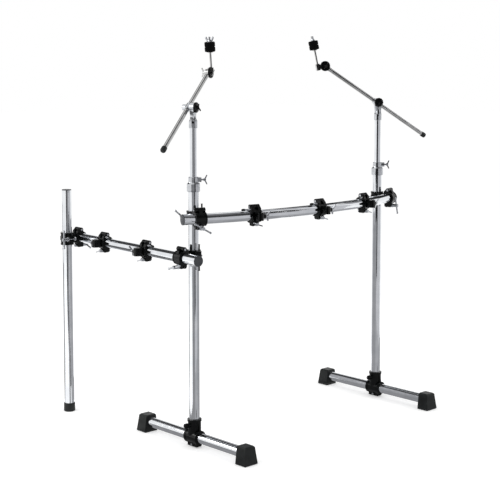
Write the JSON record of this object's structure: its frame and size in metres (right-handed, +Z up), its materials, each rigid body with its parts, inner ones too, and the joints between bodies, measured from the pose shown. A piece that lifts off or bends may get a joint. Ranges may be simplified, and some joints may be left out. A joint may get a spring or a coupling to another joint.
{
  "type": "drum rack frame",
  "caption": "Freestanding drum rack: a bowed bar on T-legs, a side wing on a third post, tube clamps, accessory clamps and telescopic cymbal booms.",
  "frame": {"origin": "centre of the footprint box, on the floor", "axes": "+Z up, +X along the line of the leg posts, +Y towards the drummer"},
  "size_m": [1.4076, 1.0383, 1.4969],
  "materials": {
    "chrome_tube": "polished chrome plate",
    "chrome_casting": "chrome-plated casting, softer polish",
    "chrome_hardware": "chrome-plated screws and wings",
    "clamp_black": "cast, black satin powder coat",
    "rubber_black": "matt moulded rubber",
    "disc_black": "moulded black nylon",
    "cap_grey": "satin dark grey",
    "felt_black": "pressed wool felt"
  },
  "bodies": {
    "frame": {"mid_leg_tube": "chrome_tube", "mid_t_joint": "clamp_black", "mid_cross_tube": "chrome_tube", "right_leg_tube": "chrome_tube", "right_t_joint": "clamp_black", "right_cross_tube": "chrome_tube", "rubber_feet": "rubber_black", "t_joint_bolts": "chrome_hardware", "leg_collars": "chrome_casting", "front_bar": "chrome_tube", "front_bar_caps": "cap_grey", "mid_front_clamp": "clamp_black", "right_front_clamp": "clamp_black", "front_clamp_jaws": "clamp_black", "front_clamp_bolts": "chrome_hardware"},
    "mid_collar_bolt": {"mid_collar_bolt": "chrome_hardware"},
    "right_collar_bolt": {"right_collar_bolt": "chrome_hardware"},
    "side_wing": {"side_bar": "chrome_tube", "side_bar_caps": "cap_grey", "mid_side_clamp": "clamp_black", "end_side_clamp": "clamp_black", "side_clamp_jaws": "clamp_black", "side_clamp_bolts": "chrome_hardware"},
    "end_post": {"end_post": "chrome_tube", "end_post_caps": "cap_grey"},
    "side_a": {"side_a_clamp": "clamp_black", "side_a_jaw": "clamp_black", "side_a_bolts": "chrome_hardware"},
    "side_b": {"side_b_clamp": "clamp_black", "side_b_jaw": "clamp_black", "side_b_bolts": "chrome_hardware"},
    "front_a": {"front_a_clamp": "clamp_black", "front_a_jaw": "clamp_black", "front_a_bolts": "chrome_hardware"},
    "front_b": {"front_b_clamp": "clamp_black", "front_b_jaw": "clamp_black", "front_b_bolts": "chrome_hardware"},
    "front_c": {"front_c_clamp": "clamp_black", "front_c_jaw": "clamp_black", "front_c_bolts": "chrome_hardware"},
    "left_mast": {"left_upper_tube": "chrome_tube"},
    "left_yoke": {"left_yoke": "chrome_casting"},
    "left_tilter": {"left_arm_clamp": "chrome_casting", "left_tilter_disc": "disc_black"},
    "left_arm": {"left_boom_arm": "chrome_tube", "left_arm_tip": "rubber_black", "left_cymbal_disc": "disc_black"},
    "left_rod": {"left_cymbal_rod": "chrome_tube", "left_felts": "felt_black"},
    "left_wing_nut": {"left_wing_nut": "chrome_hardware"},
    "right_mast": {"right_upper_tube": "chrome_tube"},
    "right_yoke": {"right_yoke": "chrome_casting"},
    "right_tilter": {"right_arm_clamp": "chrome_casting", "right_tilter_disc": "disc_black"},
    "right_arm": {"right_boom_arm": "chrome_tube", "right_arm_tip": "rubber_black", "right_cymbal_disc": "disc_black"},
    "right_rod": {"right_cymbal_rod": "chrome_tube", "right_felts": "felt_black"},
    "right_wing_nut": {"right_wing_nut": "chrome_hardware"}
  },
  "joints": [
    {"name": "mid_collar_bolt_turn", "type": "hinge", "parent": "frame", "child": "mid_collar_bolt", "pos_m": [-0.497, -0.219, 0.973], "axis": [0.7431, -0.6691, 0], "continuous": true},
    {"name": "right_collar_bolt_turn", "type": "hinge", "parent": "frame", "child": "right_collar_bolt", "pos_m": [0.503, -0.219, 0.973], "axis": [0.7431, -0.6691, 0], "continuous": true},
    {"name": "side_wing_swing", "type": "hinge", "parent": "frame", "child": "side_wing", "pos_m": [-0.497, -0.219, 0.697], "axis": [0, 0, 1], "range_deg": [-25, 40]},
    {"name": "end_post_height", "type": "slide", "parent": "side_wing", "child": "end_post", "axis": [0, 0, 1], "range_m": [0, 0.15]},
    {"name": "side_a_slide", "type": "slide", "parent": "side_wing", "child": "side_a", "axis": [0.0698, 0.9976, 0], "range_m": [-0.08, 0.08]},
    {"name": "side_b_slide", "type": "slide", "parent": "side_wing", "child": "side_b", "axis": [0.0698, 0.9976, 0], "range_m": [-0.08, 0.08]},
    {"name": "front_a_travel", "type": "hinge", "parent": "frame", "child": "front_a", "pos_m": [0.003, 1.29666, 0.838], "axis": [0, 0, 1], "range_deg": [-3, 3]},
    {"name": "front_b_travel", "type": "hinge", "parent": "frame", "child": "front_b", "pos_m": [0.003, 1.29666, 0.838], "axis": [0, 0, 1], "range_deg": [-3, 3]},
    {"name": "front_c_travel", "type": "hinge", "parent": "frame", "child": "front_c", "pos_m": [0.003, 1.29666, 0.838], "axis": [0, 0, 1], "range_deg": [-3, 3]},
    {"name": "left_mast_height", "type": "slide", "parent": "frame", "child": "left_mast", "axis": [0, 0, 1], "range_m": [-0.08, 0.15]},
    {"name": "left_boom_turn", "type": "hinge", "parent": "left_mast", "child": "left_yoke", "pos_m": [-0.497, -0.219, 1.183], "axis": [0, 0, 1], "continuous": true},
    {"name": "left_boom_tilt", "type": "hinge", "parent": "left_yoke", "child": "left_tilter", "pos_m": [-0.497, -0.219, 1.229], "axis": [-0.4305, 0.9026, 0], "range_deg": [-20, 50]},
    {"name": "left_boom_reach", "type": "slide", "parent": "left_tilter", "child": "left_arm", "axis": [0.7527, 0.359, 0.5519], "range_m": [-0.06, 0.2]},
    {"name": "left_cymbal_tilt", "type": "hinge", "parent": "left_arm", "child": "left_rod", "pos_m": [-0.33809, -0.12215, 1.35153], "axis": [-0.4305, 0.9026, 0], "range_deg": [-60, 60]},
    {"name": "left_wing_nut_turn", "type": "hinge", "parent": "left_rod", "child": "left_wing_nut", "pos_m": [-0.32915, -0.11789, 1.46801], "axis": [-0.1412, -0.0673, 0.9877], "continuous": true},
    {"name": "right_mast_height", "type": "slide", "parent": "frame", "child": "right_mast", "axis": [0, 0, 1], "range_m": [-0.08, 0.15]},
    {"name": "right_boom_turn", "type": "hinge", "parent": "right_mast", "child": "right_yoke", "pos_m": [0.503, -0.219, 1.183], "axis": [0, 0, 1], "continuous": true},
    {"name": "right_boom_tilt", "type": "hinge", "parent": "right_yoke", "child": "right_tilter", "pos_m": [0.503, -0.219, 1.229], "axis": [0.5, 0.866, 0], "range_deg": [-50, 20]},
    {"name": "right_boom_reach", "type": "slide", "parent": "right_tilter", "child": "right_arm", "axis": [-0.7222, 0.4169, 0.5519], "range_m": [-0.06, 0.2]},
    {"name": "right_cymbal_tilt", "type": "hinge", "parent": "right_arm", "child": "right_rod", "pos_m": [0.31896, -0.0908, 1.37692], "axis": [0.5, 0.866, 0], "range_deg": [-60, 60]},
    {"name": "right_wing_nut_turn", "type": "hinge", "parent": "right_rod", "child": "right_wing_nut", "pos_m": [0.2748, -0.06531, 1.48212], "axis": [-0.1801, 0.104, 0.9781], "continuous": true}
  ]
}
